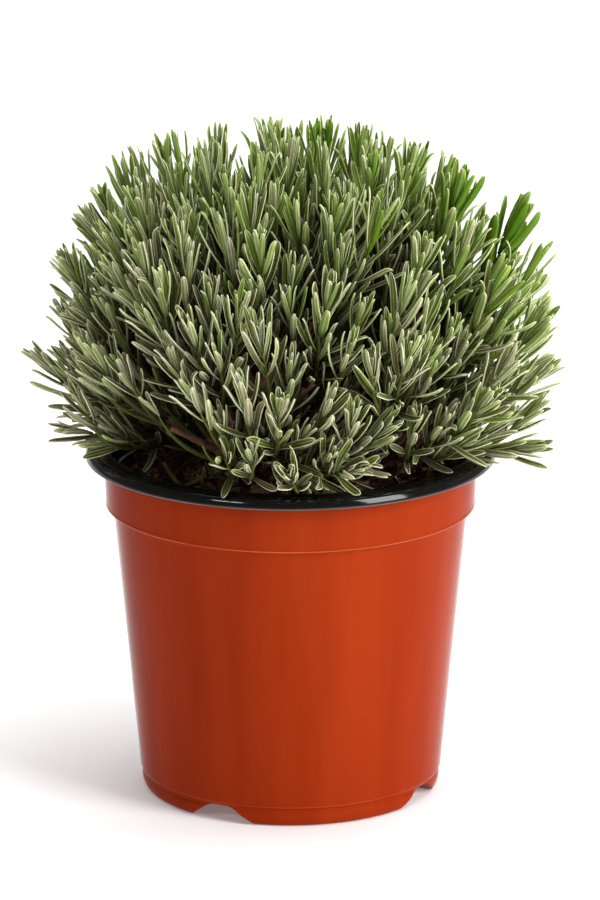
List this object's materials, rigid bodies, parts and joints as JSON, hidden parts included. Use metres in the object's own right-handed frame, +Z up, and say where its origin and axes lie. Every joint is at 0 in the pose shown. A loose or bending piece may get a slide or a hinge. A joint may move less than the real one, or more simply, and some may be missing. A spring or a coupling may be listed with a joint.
{
  "type": "potted lavender plant",
  "caption": "Bushy lavender plant in leaf, without flowers, in a thin two-colour nursery pot with a turned-out black lip and a notched foot.",
  "frame": {"origin": "middle of the pot's foot, on the surface that it stands on", "axes": "+Z up along the pot's axis, -Y towards the front of the picture, +X to its right"},
  "size_m": [0.1953, 0.1961, 0.2463],
  "materials": {
    "terracotta_plastic": "glossy",
    "black_plastic": "glossy",
    "compost": "moist and crumbly",
    "bark": "matt",
    "foliage": "felted"
  },
  "bodies": {
    "root": {"pot_shell": "terracotta_plastic", "pot_lining": "black_plastic", "compost": "compost", "woody_crown_1": "bark", "woody_crown_2": "bark", "woody_crown_3": "bark", "woody_crown_4": "bark", "woody_crown_5": "bark", "leafy_shoot_01": "foliage", "leafy_shoot_02": "foliage", "leafy_shoot_03": "foliage", "leafy_shoot_04": "foliage", "leafy_shoot_05": "foliage", "leafy_shoot_06": "foliage", "leafy_shoot_07": "foliage", "leafy_shoot_08": "foliage", "leafy_shoot_09": "foliage", "leafy_shoot_10": "foliage", "leafy_shoot_11": "foliage", "leafy_shoot_12": "foliage", "leafy_shoot_13": "foliage", "leafy_shoot_14": "foliage", "leafy_shoot_15": "foliage", "leafy_shoot_16": "foliage", "leafy_shoot_17": "foliage", "leafy_shoot_18": "foliage", "leafy_shoot_19": "foliage", "leafy_shoot_20": "foliage", "leafy_shoot_21": "foliage", "leafy_shoot_22": "foliage", "leafy_shoot_23": "foliage", "leafy_shoot_24": "foliage", "leafy_shoot_25": "foliage", "leafy_shoot_26": "foliage", "leafy_shoot_27": "foliage", "leafy_shoot_28": "foliage", "leafy_shoot_29": "foliage", "leafy_shoot_30": "foliage", "leafy_shoot_31": "foliage", "leafy_shoot_32": "foliage", "leafy_shoot_33": "foliage", "leafy_shoot_34": "foliage", "leafy_shoot_35": "foliage", "leafy_shoot_36": "foliage", "leafy_shoot_37": "foliage", "leafy_shoot_38": "foliage", "leafy_shoot_39": "foliage", "leafy_shoot_40": "foliage", "leafy_shoot_41": "foliage", "leafy_shoot_42": "foliage", "leafy_shoot_43": "foliage", "leafy_shoot_44": "foliage", "leafy_shoot_45": "foliage", "leafy_shoot_46": "foliage"}
  },
  "joints": []
}
